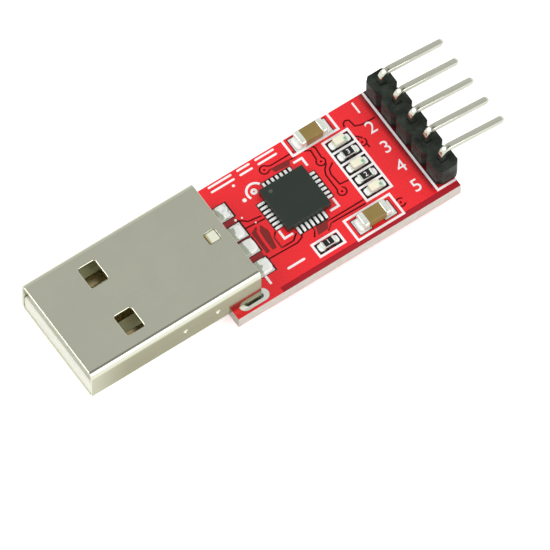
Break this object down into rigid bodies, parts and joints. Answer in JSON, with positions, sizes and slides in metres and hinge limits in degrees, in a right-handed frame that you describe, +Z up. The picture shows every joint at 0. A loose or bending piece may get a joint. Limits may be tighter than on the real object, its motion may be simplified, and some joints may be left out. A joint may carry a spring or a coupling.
{
  "type": "usb to serial adapter module",
  "caption": "Narrow circuit board with a metal USB plug on one end, a square chip and small parts on top, and a bent pin header on the other end.",
  "frame": {"origin": "centre of the plug's mouth", "axes": "+X from the plug's mouth along the board to the header, +Y across the board, +Z up from the side that carries the parts"},
  "size_m": [0.0484, 0.0137, 0.0072],
  "materials": {
    "shell_steel": "nickel-plated sheet, satin with bright bends",
    "contact_gold": "gold-flashed strip",
    "white_plastic": "moulded, smooth",
    "laminate": "sawn glass laminate",
    "red_lacquer": "glossy solder lacquer over copper",
    "tinned_copper": "levelled tin",
    "solder": "smooth solder",
    "white_print": "screen-printed ink",
    "chip_resin": "fine-grained moulding resin",
    "brown_ceramic": "fired, satin",
    "white_ceramic": "fired, matte",
    "black_glaze": "overcoat",
    "tinned_ends": "tinned metal ends",
    "lamp_resin": "cast, milky",
    "lamp_base": "laminate base",
    "black_plastic": "moulded strip",
    "pin_metal": "tinned square wire"
  },
  "bodies": {
    "root": {"board_core": "laminate", "copper_top": "red_lacquer", "copper_bottom": "red_lacquer", "pads_top": "tinned_copper", "header_hole_plating": "tinned_copper", "slot_plating": "tinned_copper", "via_plating": "red_lacquer", "print_top": "white_print", "plug_shell": "shell_steel", "plug_insulator": "white_plastic", "shell_leg_solder": "solder", "contact_solder": "solder", "chip_body": "chip_resin", "chip_leads": "tinned_copper", "chip_paddle": "tinned_copper", "chip_solder": "solder", "lamp_solder": "solder", "resistor_solder": "solder", "header_strip": "black_plastic", "header_solder": "solder", "plug_contact_1": "contact_gold", "plug_contact_2": "contact_gold", "plug_contact_3": "contact_gold", "plug_contact_4": "contact_gold", "header_pin_1": "pin_metal", "header_pin_2": "pin_metal", "header_pin_3": "pin_metal", "header_pin_4": "pin_metal", "header_pin_5": "pin_metal", "capacitor_body_1": "brown_ceramic", "capacitor_ends_1": "tinned_ends", "capacitor_solder_1": "solder", "capacitor_body_2": "brown_ceramic", "capacitor_ends_2": "tinned_ends", "capacitor_solder_2": "solder", "lamp_base_1": "lamp_base", "lamp_lens_1": "lamp_resin", "lamp_ends_1": "tinned_ends", "resistor_body_1": "white_ceramic", "resistor_coat_1": "black_glaze", "resistor_ends_1": "tinned_ends", "lamp_base_2": "lamp_base", "lamp_lens_2": "lamp_resin", "lamp_ends_2": "tinned_ends", "resistor_body_2": "white_ceramic", "resistor_coat_2": "black_glaze", "resistor_ends_2": "tinned_ends", "lamp_base_3": "lamp_base", "lamp_lens_3": "lamp_resin", "lamp_ends_3": "tinned_ends", "resistor_body_3": "white_ceramic", "resistor_coat_3": "black_glaze", "resistor_ends_3": "tinned_ends"}
  },
  "joints": []
}
